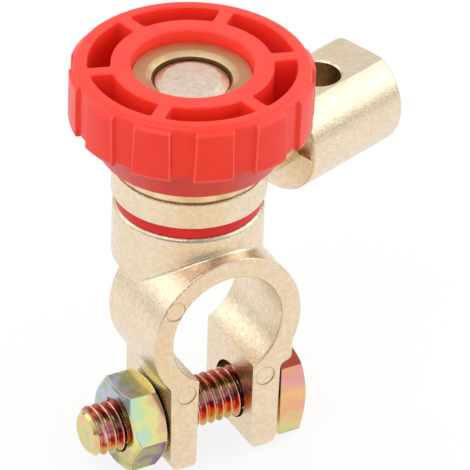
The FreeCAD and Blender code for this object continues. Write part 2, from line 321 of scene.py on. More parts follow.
def turned_piece(name: str, profile: list[tuple], columns: int, axis: Axis = Axis.KNOB,
                 ring: bool = True) -> Object:
    """A piece turned about an axis from a profile of (radius, along) points.

    Args:
        name: the piece's name.
        profile: a closed loop for a ring, or a line from pole to pole.
        columns: how many spans go round.
        axis: which axis.
        ring: whether the profile is a closed loop.
    Returns:
        The new object.
    """
    turns = np.arange(columns) * 2 * math.pi / columns
    build = bmesh.new()
    skin(build, turned_loops(profile, turns, axis), ring)
    return add_piece(name, build)


def slope(value: np.ndarray, width: float) -> np.ndarray:
    """Rises from 0 at 0 to 1 at `width`, and stays there."""
    return np.clip(value / width, 0, 1)


def ridge(value: np.ndarray, width: float) -> np.ndarray:
    """1 at 0, falling to 0 at `width` on both sides."""
    return np.clip(1 - abs(value) / width, 0, 1)


def paint(piece: Object, name: str, rule: Callable[[np.ndarray], np.ndarray]) -> None:
    """Stores a number at each vertex for a finish to read.

    Args:
        piece: the piece.
        name: the attribute's name.
        rule: gives the numbers from the vertices' places in millimetres.
    """
    mesh = piece.data
    spots = np.empty(3 * len(mesh.vertices), np.float32)
    mesh.vertices.foreach_get("co", spots)
    layer = mesh.attributes.new(name, "FLOAT", "POINT")
    layer.data.foreach_set("value", rule(spots.reshape(-1, 3) / MM).astype(np.float32))


def evaluated_mesh(piece: Object) -> None:
    """Keeps what a piece's modifiers make as its plain mesh and removes them."""
    view = bpy.context.evaluated_depsgraph_get()
    mesh = bpy.data.meshes.new_from_object(piece.evaluated_get(view))
    old = piece.data
    piece.modifiers.clear()
    piece.data = mesh
    bpy.data.meshes.remove(old)


def to_bmesh(piece: Object) -> BMesh:
    """Takes a piece's mesh as a bmesh and removes the object."""
    build = bmesh.new()
    build.from_mesh(piece.data)
    bpy.data.objects.remove(piece)
    return build


# Geometry Nodes

class Sheet:
    """A Geometry Nodes tree with named number inputs, grown one node at a time."""

    def __init__(self, name: str, sizes: dict[str, float]) -> None:
        """Starts the tree.

        Args:
            name: the tree's name.
            sizes: each input's name and value.
        """
        self.tree = bpy.data.node_groups.new(name, "GeometryNodeTree")
        face = self.tree.interface
        face.new_socket("Geometry", in_out="INPUT", socket_type="NodeSocketGeometry")
        for size in sizes:
            face.new_socket(size, in_out="INPUT", socket_type="NodeSocketFloat")
        face.new_socket("Material", in_out="INPUT", socket_type="NodeSocketMaterial")
        face.new_socket("Geometry", in_out="OUTPUT", socket_type="NodeSocketGeometry")
        self.sizes = sizes
        self.entry = add_node(self.tree, "NodeGroupInput")

    def size(self, name: str) -> NodeSocket:
        """The socket of a named input."""
        return self.entry.outputs[name]

    def math(self, operation: str, *values) -> NodeSocket:
        """A Math node on values or sockets."""
        return add_math(self.tree, operation, *values)

    def ramp(self, value, low, high, kind: str = "SMOOTHSTEP") -> NodeSocket:
        """A step from 0 at `low` to 1 at `high`, soft or "LINEAR"."""
        return map_range(self.tree, value, low, high, kind=kind)

    def close(self, geometry: NodeSocket) -> None:
        """Ends the tree with Realize Instances and Set Material."""
        whole = add_node(self.tree, "GeometryNodeRealizeInstances", {0: geometry})
        dressed = add_node(self.tree, "GeometryNodeSetMaterial",
                           {"Geometry": whole.outputs[0], "Material": self.size("Material")})
        add_node(self.tree, "NodeGroupOutput", {0: dressed.outputs[0]})

    def run(self, piece: Object, material: Material) -> None:
        """Runs the tree on a piece and keeps the result as a plain mesh.

        Args:
            piece: the object that gets the tree.
            material: what the tree's faces are made of.
        """
        modifier = piece.modifiers.new(self.tree.name, "NODES")
        modifier.node_group = self.tree
        for socket in self.tree.interface.items_tree:
            if socket.in_out == "INPUT" and socket.name in self.sizes:
                modifier[socket.identifier] = float(self.sizes[socket.name])
            elif socket.in_out == "INPUT" and socket.name == "Material":
                modifier[socket.identifier] = material
        evaluated_mesh(piece)


@dataclass
class Thread:
    """A right-handed screw thread whose rows of faces follow the helix."""

    name: str
    axis: Axis
    pitch: float
    crest: float
    root: float
    start: float
    length: float
    chamfer: float
    lead: float = 0.0
    chamfer_slope: float = 1.0
    root_share: float = 0.2
    crest_share: float = 0.93
    columns: int = 72
    rows_per_pitch: int = 16
    spare_before: float = 1.2
    spare_turns: float = 3.4

    def sheet(self) -> Sheet:
        """The tree that bends a flat grid into the thread.

        Returns:
            The finished tree.
        """
        sheet = Sheet(self.name + "_helix", {
            "Pitch": self.pitch * MM, "Crest radius": self.crest * MM, "Root radius": self.root * MM,
            "Length": self.length * MM, "Chamfer": self.chamfer * MM,
            "Chamfer slope": self.chamfer_slope, "Lead": self.lead * MM,
        })
        tree, m, size = sheet.tree, sheet.math, sheet.size
        spot = add_node(tree, "ShaderNodeSeparateXYZ",
                        {0: add_node(tree, "GeometryNodeInputPosition").outputs[0]})
        turn, row = spot.outputs["X"], spot.outputs["Y"]
        run = m("ADD", m("MULTIPLY", m("ADD", row, turn), size("Pitch")), size("Lead"))
        along = m("MINIMUM", m("MAXIMUM", run, 0.0), size("Length"))
        phase = m("MULTIPLY", m("PINGPONG", row, 0.5), 2.0)
        rise = sheet.ramp(phase, self.root_share, self.crest_share, "LINEAR")
        depth = m("SUBTRACT", size("Crest radius"), size("Root radius"))
        profile = m("ADD", size("Root radius"), m("MULTIPLY", rise, depth))
        cone = m("SUBTRACT", size("Crest radius"), size("Chamfer"))
        near = m("ADD", cone, m("MULTIPLY", along, size("Chamfer slope")))
        to_end = m("SUBTRACT", size("Length"), along)
        far = m("ADD", cone, m("MULTIPLY", to_end, size("Chamfer slope")))
        radius = m("MINIMUM", profile, m("MINIMUM", near, far))
        over = m("SUBTRACT", row, m("DIVIDE", size("Length"), size("Pitch")))
        past = m("MAXIMUM", m("LESS_THAN", row, -END_TURN), m("GREATER_THAN", over, END_TURN))
        radius = m("MULTIPLY", radius, m("SUBTRACT", 1.0, past))
        angle = m("MULTIPLY", turn, 2 * math.pi)
        side = m("MULTIPLY", radius, m("COSINE", angle))
        high = m("MULTIPLY", radius, m("SINE", angle))
        if self.axis is Axis.KNOB:
            new = add_node(tree, "ShaderNodeCombineXYZ", {0: side, 1: high, 2: along})
            shift = (KNOB_AXIS[0] * MM, KNOB_AXIS[1] * MM, self.start * MM)
        else:
            new = add_node(tree, "ShaderNodeCombineXYZ", {
                0: along, 1: m("MULTIPLY", side, -1.0), 2: m("MULTIPLY", high, -1.0)})
            shift = (self.start * MM, BOLT_AXIS[0] * MM, BOLT_AXIS[1] * MM)
        moved = add_vector(tree, "ADD", new.outputs[0], shift)
        bent = add_node(tree, "GeometryNodeSetPosition",
                        {"Geometry": size("Geometry"), "Position": moved.outputs[0]})
        sheet.close(bent.outputs[0])
        return sheet

    def make(self, material: Material) -> Object:
        """Makes the threaded bar as a closed mesh.

        Args:
            material: what it is made of.
        Returns:
            The new object.
        """
        step = self.rows_per_pitch
        rows = int((self.length / self.pitch + self.spare_turns) * step)
        build = bmesh.new()
        grid = [[build.verts.new((c / self.columns, (r - self.spare_before * step) / step, 0))
                 for c in range(self.columns + 1)] for r in range(rows + 1)]
        for low, high in zip(grid, grid[1:]):
            for c in range(self.columns):
                build.faces.new((low[c], low[c + 1], high[c + 1], high[c]))
        flat = add_object(self.name, build)
        self.sheet().run(flat, material)
        bar = to_bmesh(flat)
        bmesh.ops.remove_doubles(bar, verts=bar.verts, dist=THREAD_MERGE)
        bmesh.ops.dissolve_degenerate(bar, edges=bar.edges, dist=CAD_NO_LENGTH)
        edges = [edge for edge in bar.edges if edge.is_boundary]
        if edges:
            bmesh.ops.holes_fill(bar, edges=edges, sides=0)
        return add_piece(self.name, bar)


# Finishes

class Look:
    """A material's node tree, grown one node at a time in the part's own coordinates."""

    def __init__(self, name: str) -> None:
        """Starts the material.

        Args:
            name: the material's name.
        """
        self.material = bpy.data.materials.new(name)
        self.tree = cleared_tree(self.material)
        self.shader = add_node(self.tree, "ShaderNodeBsdfPrincipled")
        add_node(self.tree, "ShaderNodeOutputMaterial", {"Surface": self.shader.outputs[0]})
        self.where = add_node(self.tree, "ShaderNodeTexCoord").outputs["Object"]

    def noise(self, size: float, detail: float = 2.0, roughness: float = 0.5,
              where: NodeSocket | None = None) -> NodeSocket:
        """Noise whose features are `size` millimetres across."""
        node = add_node(self.tree, "ShaderNodeTexNoise", {
            "Vector": self.where if where is None else where, "Scale": per_mm(size),
            "Detail": detail, "Roughness": roughness})
        return node.outputs["Fac"]

    def ramp(self, value: NodeSocket, stops) -> NodeSocket:
        """A colour ramp from (place, hex colour) stops."""
        return colour_ramp(self.tree, value, [(at, linear(code)) for at, code in stops])

    def mix(self, share: NodeSocket, one, two) -> NodeSocket:
        """Mixes two colours."""
        return mix_colours(self.tree, share, one, two)

    def between(self, *values) -> NodeSocket:
        """Maps a value from one range (low, high) to another."""
        return map_range(self.tree, *values)

    def uneven(self, value: NodeSocket, roughness: float) -> NodeSocket:
        """A roughness that varies a little with a noise."""
        return self.between(value, 0.3, 0.7, roughness - 0.04, roughness + 0.06)

    def math(self, operation: str, *values, **settings) -> NodeSocket:
        """A Math node on values or sockets."""
        return add_math(self.tree, operation, *values, **settings)

    def attribute(self, name: str) -> NodeSocket:
        """A number that was painted on the piece."""
        return add_node(self.tree, "ShaderNodeAttribute", attribute_name=name).outputs["Fac"]

    def bump(self, strength, depth: float, height: NodeSocket,
             under: NodeSocket | None = None) -> NodeSocket:
        """A bump of `depth` millimetres, on top of another one if given."""
        inputs = {"Strength": strength, "Distance": depth * MM, "Height": height}
        if under is not None:
            inputs["Normal"] = under
        return add_node(self.tree, "ShaderNodeBump", inputs).outputs[0]

    def end(self, inputs: dict) -> Material:
        """Fills the shader's inputs and returns the material."""
        fill(self.tree, self.shader, inputs)
        return self.material


@dataclass(frozen=True)
class Finish:
    """What every finish shares: the name of its material, and that it can build it."""

    name: str

    def make(self) -> Material:
        """Builds the material."""
        raise NotImplementedError


@dataclass(frozen=True)
class CastBrass(Finish):
    """Die casting, tumbled and brass plated: pale champagne gold with a sandy grain and dark specks.

    `marks` are the centres, in millimetres, of the round ejector pin marks, whose rims get a painted
    shade as dark lines.
    """

    base: str = "EBD7BA"
    light: str = "F1E1CB"
    # shade: the dark specks' colour, and the painted shade on the marks' rims
    shade: str = "A0805A"
    stain: str = "E8D2B1"
    cloud: float = 0.8
    flow: float = 0.6
    grain: float = 0.26
    roughness: float = 0.22
    marks: tuple = ()
    mark_radius: float = 1.55
    mark_line: float = 0.16

    def make(self) -> Material:
        """Builds the material."""
        look = Look(self.name)
        clouds = look.noise(self.cloud, 4.0, 0.7)
        speck = look.noise(self.grain, 3.0, 0.65)
        flow = look.noise(self.flow)
        tone = look.ramp(clouds, [(0.34, self.stain), (0.48, self.base), (0.64, self.light)])
        tone = look.mix(look.between(speck, 0.6, 0.76, 0.0, 0.45), tone, linear(self.shade))
        # painted shade round the rims of the ejector pin marks
        for centre in self.marks:
            tone = look.mix(self.mark_rim(look, centre), tone, linear(self.shade))
        fine = look.bump(1.0, 0.05, speck)
        return look.end({"Base Color": tone, "Metallic": 1.0,
                         "Roughness": look.uneven(flow, self.roughness),
                         "Normal": look.bump(0.5, 0.03, flow, fine)})

    def mark_rim(self, look: Look, centre: tuple[float, float, float]) -> NodeSocket:
        """1 on the rim of a round mark, where its groove's shade is painted, 0 away from it."""
        away = add_vector(look.tree, "DISTANCE", look.where, tuple(v * MM for v in centre))
        gap = look.math("ABSOLUTE", look.math("SUBTRACT", away.outputs["Value"], self.mark_radius * MM))
        return look.between(gap, self.mark_line * MM, 0.3 * self.mark_line * MM, 0.0, 0.4)


@dataclass(frozen=True)
class TurnedBrass(Finish):
    """Bar brass off the lathe: satin, with faint rings about its axis.

    Where the piece's "dull" attribute is 0.5 the metal is rough and brown, and where it is 1, dark: a
    painted shade.
    """

    base: str = "EED8AC"
    shade: str = "D8BA82"
    dull: str = "CBA076"
    # dark: the painted shade down a narrow groove
    dark: str = "5E4020"
    ring: float = 0.16
    smear: float = 2.2
    speck: float = 0.35
    roughness: float = 0.3

    def make(self) -> Material:
        """Builds the material."""
        look = Look(self.name)
        tree = look.tree
        centred = add_node(tree, "ShaderNodeMapping", {
            "Vector": look.where, "Location": (-KNOB_AXIS[0] * MM, -KNOB_AXIS[1] * MM, 0)})
        parts = add_node(tree, "ShaderNodeSeparateXYZ", {0: centred.outputs[0]})
        flat = add_node(tree, "ShaderNodeCombineXYZ", {0: parts.outputs[0], 1: parts.outputs[1]})
        reach = add_vector(tree, "LENGTH", flat.outputs[0])
        groove = add_node(tree, "ShaderNodeCombineXYZ",
                          {0: reach.outputs["Value"], 2: parts.outputs[2]})
        rings = look.noise(self.ring, 2.0, 0.6, groove.outputs[0])
        smear = look.noise(self.smear, 3.0)
        tone = look.ramp(smear, [(0.3, self.shade), (0.62, self.base)])
        # "dull" is 0.5 on the rough dish, and 1 where the groove's shade is painted
        dull_and_shade = look.attribute("dull")
        tone = look.mix(look.between(dull_and_shade, 0.0, 0.5, 0.0, 1.0), tone, linear(self.dull))
        tone = look.mix(look.between(dull_and_shade, 0.5, 1.0, 0.0, 1.0), tone, linear(self.dark))
        rough = look.between(smear, 0.3, 0.7, self.roughness + 0.06, self.roughness - 0.05)
        fine = look.bump(0.35, 0.01, rings)
        grit = look.bump(look.math("MULTIPLY_ADD", dull_and_shade, 1.2, 0.4), 0.03, look.noise(self.speck), fine)
        return look.end({"Base Color": tone, "Metallic": 1.0, "Normal": grit,
                         "Roughness": look.math("MULTIPLY_ADD", dull_and_shade, 0.3, rough)})


@dataclass(frozen=True)
class MouldedPlastic(Finish):
    """Injection-moulded red nylon: satin, a little light passes under its edges.

    The piece's "rub" attribute marks the edges of the grips, where a paler colour paints a highlight.
    """

    base: str = "F43C2A"
    deep: str = "F03424"
    # edge: the paler red of the painted highlight on the grips' edges
    edge: str = "FF7A6C"
    cloud: float = 6.0
    grain: float = 0.3
    roughness: float = 0.36
    depth: float = 1.2

    def make(self) -> Material:
        """Builds the material."""
        look = Look(self.name)
        clouds = look.noise(self.cloud)
        tone = look.ramp(clouds, [(0.3, self.deep), (0.65, self.base)])
        # painted highlight along the grips' edges
        edge = look.between(look.attribute("edge_glint"), 0.0, 1.0, 0.0, 0.7)
        return look.end({
            "Base Color": look.mix(edge, tone, linear(self.edge)),
            "Roughness": look.uneven(clouds, self.roughness),
            "IOR": 1.53, "Specular IOR Level": 0.4, "Subsurface Weight": 0.3,
            "Subsurface Radius": (1.0, 0.1, 0.06), "Subsurface Scale": self.depth * MM,
            "Normal": look.bump(0.25, 0.02, look.noise(self.grain, 3.0))})


@dataclass(frozen=True)
class PassivatedZinc(Finish):
    """Steel with yellow chromate over zinc: a thin film that breaks into gold, green and pink.

    The piece's attributes steer it: "film" is the place in the colour runs, "dark" leads from the
    pale run to the deep one, a painted shade and reflection as down in a thread where light bounces
    twice, and "rub" marks the edges and crests that get a painted highlight.
    """

    pale: tuple = ((0.0, "DDE2F6"), (0.14, "CFF0F0"), (0.3, "DAF6B4"), (0.48, "FAF8A4"),
                   (0.66, "FCE0A0"), (0.84, "F8C2AA"), (1.0, "EECCA2"))
    # deep: the colours of the painted shade and reflection
    deep: tuple = ((0.0, "ABA6BA"), (0.2, "8A8F88"), (0.36, "7C5E54"), (0.52, "A6A85E"),
                   (0.68, "A49A66"), (0.84, "8A7486"), (1.0, "6A5A6C"))
    # edge: the colour of the painted highlight on edges and crests
    edge: str = "F4F2B4"
    spread: float = 2.6
    waves: float = 0.5
    grain: float = 0.5
    roughness: float = 0.17

    def make(self) -> Material:
        """Builds the material."""
        look = Look(self.name)
        ripple = look.between(look.noise(self.spread), 0.25, 0.75, -self.waves / 2, self.waves / 2)
        film = look.math("ADD", ripple, look.attribute("film"), use_clamp=True)
        # painted shade and reflection: the deep run where "dark" is high
        tone = look.mix(look.attribute("dark"), look.ramp(film, self.pale), look.ramp(film, self.deep))
        # painted highlight on edges and crests
        edge_glint = look.math("MULTIPLY", look.attribute("edge_glint"), 0.7)
        grit = look.noise(self.grain, 3.0)
        return look.end({
            "Base Color": look.mix(edge_glint, tone, linear(self.edge)), "Metallic": 1.0,
            "Roughness": look.uneven(grit, self.roughness),
            "Normal": look.bump(0.25, 0.01, grit)})


# Sub-assemblies

@dataclass
class Castings:
    """The clamp body and the terminal, taken from the CAD with their own cast skin."""

    clamp_finish: Finish = CastBrass("plated_cast_brass_clamp", marks=(
        (-6.68, -6.9, -9.8), (6.68, -6.9, -10.4), (-8.97, -6.9, 6.05)))
    terminal_finish: Finish = CastBrass("plated_cast_brass_terminal")
    flat_deg: float = 0.4

    def copy_of(self, node: str, name: str) -> Object:
        """A merged copy of a CAD node, its nearly flat faces dissolved and then triangulated.

        Args:
            node: the CAD node.
            name: the piece's name.
        Returns:
            The new object.
        """
        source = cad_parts[node].data.copy()
        for layer in [a for a in source.attributes if a.name == "custom_normal"]:
            source.attributes.remove(layer)
        build = bmesh.new()
        build.from_mesh(source)
        bpy.data.meshes.remove(source)
        bmesh.ops.remove_doubles(build, verts=build.verts, dist=CAD_MERGE)
        bmesh.ops.dissolve_degenerate(build, edges=build.edges, dist=CAD_NO_LENGTH)
        bmesh.ops.dissolve_limit(build, angle_limit=math.radians(self.flat_deg),
                                 verts=build.verts, edges=build.edges)
        bmesh.ops.triangulate(build, faces=build.faces)
        return add_object(name, build)

    def build(self) -> None:
        """Makes both castings."""
        for node, body, finish in (("clamp_body", "clamp", self.clamp_finish),
                                   ("terminal", "terminal", self.terminal_finish)):
            casting = self.copy_of(node, "cast_" + body)
            dress(casting, finish.make(), body, node)


@dataclass
class Insulators:
    """The red flanged bush and the red washer that keep the two castings apart."""

    bottom: float = 15.9
    flange_top: float = 17.9
    flange_radius: float = 11.0
    bore: float = 7.05
    sleeve: float = 7.85
    sleeve_top: float = 19.6
    washer_radius: float = 9.0
    washer_top: float = 20.6

    def build(self) -> None:
        """Makes both insulators."""
        finish = MouldedPlastic("moulded_red_insulator", base="E4241E", deep="D41C18", edge="EC4038",
                                roughness=0.42).make()
        flange, rim, top = self.flange_radius, self.washer_radius, self.sleeve_top
        for name, node, columns, points, radii in (
                ("flanged_bush", "insulating_bush", 120, [
                    (self.bore, self.bottom), (flange, self.bottom), (flange, self.flange_top),
                    (self.sleeve, self.flange_top), (self.sleeve, top), (self.bore, top),
                ], {1: 0.2, 2: 0.2, 4: 0.15, 5: 0.15}),
                ("insulating_washer", "retaining_washer", 96, [
                    (self.bore, top), (rim, top), (rim, self.washer_top), (self.bore, self.washer_top),
                ], {1: 0.15, 2: 0.15})):
            piece = turned_piece(name, rounded(points, radii), columns)
            dress(piece, finish, "clamp", node)


@dataclass
class Contacts:
    """The brass washer, the contact screw with its stud end, and the knob's insert."""

    washer_radius: float = 11.3
    washer_bore: float = 5.25
    washer_bottom: float = 22.3
    contact: float = 23.8
    screw_radius: float = 4.9
    screw_root: float = 4.05
    screw_end: float = 12.2
    pitch: float = 1.5
    screw_overlap: float = 0.4
    screw_chamfer: float = 0.8
    stud_columns: int = 144
    stud_radius: float = 5.65
    stud_top: float = 37.0
    stud_gap: float = 0.03
    bevel_width: float = 1.35
    bevel_drop: float = 0.6
    insert_radius: float = 8.95
    insert_top: float = 37.7
    flange_radius: float = 10.5
    flange_top: float = 26.2
    dish_radius: float = 6.97
    dish_drop: float = 0.3
    chamfer_radius: float = 6.0
    chamfer_drop: float = 0.5
    groove_drop: float = 0.9
    dish_soft: float = 0.1
    groove_soft: float = 0.04
    bore: float = 5.67
    hairline: tuple = (170.2, 20.1)
    line_reach: float = 4.15
    line_foot: float = 0.09
    line_crest: float = 0.05
    line_sink: float = 0.15
    line_rise: float = 0.07

    def build(self) -> None:
        """Makes the three brass pieces."""
        self.build_washer()
        self.build_insert()
        self.build_screw()

    def build_washer(self) -> None:
        """The disc that the knob presses on the terminal ring."""
        low, high = self.washer_bottom, self.contact
        profile = rounded([
            (self.washer_bore, low), (self.washer_radius, low), (self.washer_radius, high),
            (self.washer_bore, high),
        ], {0: 0.1, 1: 0.18, 2: 0.18, 3: 0.1})
        washer = turned_piece("contact_disc", profile, 144)
        finish = TurnedBrass("turned_contact_brass", base="EFDDB4", shade="DCC08A", roughness=0.34)
        dress(washer, finish.make(), "washer", "contact_washer")

    def build_insert(self) -> None:
        """The bush in the hub, with its dished and chamfered mouth."""
        dish = self.insert_top - self.dish_drop
        groove = dish - self.groove_drop
        profile = rounded([
            (self.bore, self.contact), (self.flange_radius, self.contact),
            (self.flange_radius, self.flange_top), (self.insert_radius, self.flange_top),
            (self.insert_radius, self.insert_top), (self.dish_radius, dish),
            (self.chamfer_radius, dish - self.chamfer_drop), (self.chamfer_radius, groove),
            (self.bore, groove),
        ], {1: 0.15, 2: 0.15, 4: 0.12, 5: 0.1, 6: 0.08})
        insert = turned_piece("hub_insert", profile, 192)
        # the dull share: a rough dish, and a painted shade down the groove
        paint(insert, "dull", self.insert_dull_and_shade)
        dress(insert, TurnedBrass("turned_insert_brass").make(), "knob", "knob_insert")

    def insert_dull_and_shade(self, spots: np.ndarray) -> np.ndarray:
        """0 on the chamfer, 0.5 on the rough dish round it, and 1 down the groove beside the stud, as
        painted shade.

        Args:
            spots: places in millimetres.
        Returns:
            The shares.
        """
        radius = np.hypot(spots[:, 0] - KNOB_AXIS[0], spots[:, 1] - KNOB_AXIS[1])
        dish = 0.5 * slope(radius - self.dish_radius + self.dish_soft, 1.2 * self.dish_soft)
        groove = slope(self.chamfer_radius + self.groove_soft - radius, 1.25 * self.groove_soft)
        return np.maximum(dish, groove)

    def build_screw(self) -> None:
        """The threaded shank and the stud that shows in the hub."""
        finish = CastBrass("cast_screw_brass", base="EDDCC8", light="F4E8DA", stain="E4D0B4",
                           roughness=0.3).make()
        thread = Thread("contact_thread", Axis.KNOB, self.pitch, self.screw_radius, self.screw_root,
                        self.screw_end, self.contact + self.screw_overlap - self.screw_end,
                        self.screw_chamfer)
        build = to_bmesh(thread.make(finish))
        turns = np.arange(self.stud_columns) * 2 * math.pi / self.stud_columns
        profile = rounded([
            (0.0, self.contact + self.stud_gap), (self.stud_radius, self.contact + self.stud_gap),
            (self.stud_radius, self.stud_top - self.bevel_drop),
            (self.stud_radius - self.bevel_width, self.stud_top), (0.0, self.stud_top),
        ], {2: 0.25, 3: 0.5})
        middle = [(self.stud_radius - self.bevel_width - 0.4, self.stud_top)]
        profile = profile[:-1] + middle + profile[-1:]
        skin(build, turned_loops(profile, turns, Axis.KNOB), False)
        self.add_hairline(build)
        screw = add_piece("contact_stud_screw", build)
        dress(screw, finish, "knob", "contact_screw")

    def add_hairline(self, build: BMesh) -> None:
        """The thin raised line that the mould's joint left across the stud."""
        ends = [place(self.line_reach, math.radians(turn), self.stud_top, Axis.KNOB)
                for turn in self.hairline]
        along = (ends[1] - ends[0]) / np.linalg.norm(ends[1] - ends[0])
        side = np.array([-along[1], along[0], 0.0])
        wide, narrow = side * self.line_foot, side * self.line_crest
        deep, high = np.array([0, 0, -self.line_sink]), np.array([0, 0, self.line_rise])
        corners = (deep - wide, deep + wide, high + narrow, high - narrow)
        loops = [np.array([end + corner for corner in corners]) for end in ends]
        for row in skin(build, loops, False):
            build.faces.new(row)


@dataclass
class Knob:
    """The red knob: hub, six spokes, rim with twelve grip pads, and a tapered skirt."""

    top: float = 39.58
    height: float = 14.68
    rim_radius: float = 17.6
    rim_wall: float = 2.11
    rim_height: float = 8.98
    shoulder: float = 1.0
    shoulder_drop: float = 0.75
    overhang: float = 1.4
    skirt_radius: float = 13.6
    flange_bore: float = 11.4
    flange_top: float = 26.2
    grip_bore: float = 8.97
    insert_top: float = 37.7
    hub_bore: float = 9.11
    hub_radius: float = 12.07
    mouth_round: float = 0.22
    pocket_depth: float = 8.0
    pocket_corner: float = 0.5
    pocket_lip: float = 0.06
    pocket_lean: tuple = ((0.02, 2.5), (0.05, 7.5))
    pocket_floor_round: float = 0.35
    spokes: int = 6
    spoke_width: float = 2.1
    spoke_azimuth: float = 42.4
    pads: int = 12
    pad_height: float = 0.6
    pad_azimuth: float = 12.4
    pad_half_top: float = 9.1
    pad_half_foot: float = 9.8
    pad_top_drop: float = 0.7
    pad_foot_drop: float = 0.35
    pad_soft: float = 0.55
    crown_soft: tuple = (0.12, 0.55)
    foot_slack: float = 0.02
    rim_reach: float = 1.05
    out_band: tuple = (1.0, 0.45)
    down_reach: float = 1.3
    down_band: tuple = (1.02, 0.85)
    edge_width: float = 0.5
    edge_foot: float = 0.05
    edge_foot_width: float = 0.3
    edge_rise: float = 0.15
    edge_rise_width: float = 0.2
    lid_edge: float = 0.12
    crown_rows: tuple = (0.8, 1.7, 10)
    wall_rows: tuple = (2.2, 1.2, 7)
    foot_rows: tuple = (1.0, 0.8, 0.6)
    under_rows: tuple = (0.55, 0.3, 6)
    column_steps: tuple = ((1.7, 3.4, 5.1, 6.8, 8.0), (8.4, 10.6, 11), (11.4, 12.6, 13.8))

    def columns(self) -> np.ndarray:
        """Angles round the rim, close together at the pads' edges.

        Returns:
            The angles in radians.
        """
        inner, edge, outer = self.column_steps
        half = np.concatenate([inner, np.linspace(*edge), outer])
        span = np.concatenate([-half[::-1], [0.0], half, [15.0]])
        step = 360 / self.pads
        turns = [self.pad_azimuth + i * step + span for i in range(self.pads)]
        return np.radians(np.concatenate(turns))

    def outside(self) -> list[tuple[float, float]]:
        """The profile from the top's outer edge, under the rim and skirt, up the bore to the top.

        Returns:
            (radius, height) points.
        """
        top, rim = self.top, self.rim_radius
        foot = top - self.rim_height
        bottom = top - self.height
        edge = rim - self.shoulder
        profile = [(edge - self.lid_edge, top)]
        for k in range(9):
            turn = math.pi / 2 * k / 8
            profile.append((edge + self.shoulder * math.sin(turn),
                            top - self.shoulder_drop * (1 - math.cos(turn))))
        profile += [(rim, top - drop) for drop in np.linspace(*self.crown_rows)]
        down, up, count = self.wall_rows
        profile += [(rim, z) for z in np.linspace(top - down, foot + up, count)]
        first, *turned = [(rim, foot + up) for up in self.foot_rows]
        under = rim - self.overhang
        tail = rounded([
            first, (rim, foot), (under, foot), (self.skirt_radius, bottom),
            (self.flange_bore, bottom), (self.flange_bore, self.flange_top),
            (self.grip_bore, self.flange_top), (self.grip_bore, self.insert_top),
            (self.hub_bore, self.insert_top), (self.hub_bore, top), (self.hub_bore + 0.6, top),
        ], {1: 0.5, 2: 0.25, 3: 0.5, 4: 0.25, 9: 0.3}, 6)
        start, end, count = self.under_rows
        split = [(r, foot) for r in np.linspace(rim - start, under + end, count)]
        return profile + tail[:1] + turned + tail[1:8] + split + tail[8:]

    def pad_sheet(self) -> Sheet:
        """The tree that raises the grip pads out of the rim.

        Returns:
            The finished tree.
        """
        foot = self.top - self.rim_height
        sheet = Sheet("grip_pads", {
            "Count": self.pads, "Azimuth": math.radians(self.pad_azimuth),
            "Height": self.pad_height * MM,
            "Half arc at the top": math.radians(self.pad_half_top),
            "Half arc at the foot": math.radians(self.pad_half_foot),
            "Softness": math.radians(self.pad_soft), "Rim radius": self.rim_radius * MM,
            "Rim top": self.top * MM, "Rim foot": foot * MM, "Top drop": self.pad_top_drop * MM,
            "Foot drop": self.pad_foot_drop * MM,
        })
        tree, m, size = sheet.tree, sheet.math, sheet.size
        position = add_node(tree, "GeometryNodeInputPosition")
        axis = (KNOB_AXIS[0] * MM, KNOB_AXIS[1] * MM, 0)
        centred = add_vector(tree, "SUBTRACT", position.outputs[0], axis)
        x, y, z = add_node(tree, "ShaderNodeSeparateXYZ", {0: centred.outputs[0]}).outputs
        radius = m("SQRT", m("ADD", m("MULTIPLY", x, x), m("MULTIPLY", y, y)))
        turn = m("SUBTRACT", m("ARCTAN2", y, x), size("Azimuth"))
        step = m("DIVIDE", 2 * math.pi, size("Count"))
        off = m("PINGPONG", turn, m("DIVIDE", step, 2.0))
        half = map_range(tree, z, size("Rim top"), size("Rim foot"),
                         size("Half arc at the top"), size("Half arc at the foot"))
        soft = size("Softness")
        across = sheet.ramp(off, m("ADD", half, soft), m("SUBTRACT", half, soft))
        crown = m("SUBTRACT", size("Rim top"), size("Top drop"))
        above, below = self.crown_soft
        upper = sheet.ramp(z, m("ADD", crown, above * MM), m("SUBTRACT", crown, below * MM))
        above_foot = m("SUBTRACT", z, size("Rim foot"))

        def inside(gap: float) -> NodeSocket:
            """The radius that lies `gap` millimetres inside the rim's wall."""
            return m("SUBTRACT", size("Rim radius"), gap * MM)

        on_rim = m("MULTIPLY", m("GREATER_THAN", above_foot, -self.foot_slack * MM),
                   m("GREATER_THAN", radius, inside(self.rim_reach)))
        mask = m("MULTIPLY", m("MULTIPLY", across, upper), on_rim)
        near_wall = sheet.ramp(radius, *map(inside, self.out_band))
        out = m("MULTIPLY", m("MULTIPLY", mask, near_wall), size("Height"))
        low = sheet.ramp(above_foot, self.down_reach * MM, 0.0)
        inner = sheet.ramp(radius, *map(inside, self.down_band))
        down = m("MULTIPLY", m("MULTIPLY", m("MULTIPLY", mask, low), inner), size("Foot drop"))
        share = m("DIVIDE", out, radius)
        move = add_node(tree, "ShaderNodeCombineXYZ", {
            0: m("MULTIPLY", x, share), 1: m("MULTIPLY", y, share), 2: m("MULTIPLY", down, -1.0)})
        raised = add_node(tree, "GeometryNodeSetPosition", {
            "Geometry": size("Geometry"), "Offset": move.outputs[0]})
        sheet.close(raised.outputs[0])
        return sheet

    def pocket_loop(self, index: int, grow: float, height: float) -> np.ndarray:
        """One pocket's outline, grown by an offset.

        Args:
            index: which pocket.
            grow: how far outside its walls the outline lies.
            height: its height.
        Returns:
            The loop's points.
        """
        inner = self.hub_radius - grow
        outer = self.rim_radius - self.rim_wall + grow
        side = self.spoke_width / 2 - grow
        corner = self.pocket_corner + grow
        first = math.radians(self.spoke_azimuth + index * 360 / self.spokes)
        last = first + 2 * math.pi / self.spokes

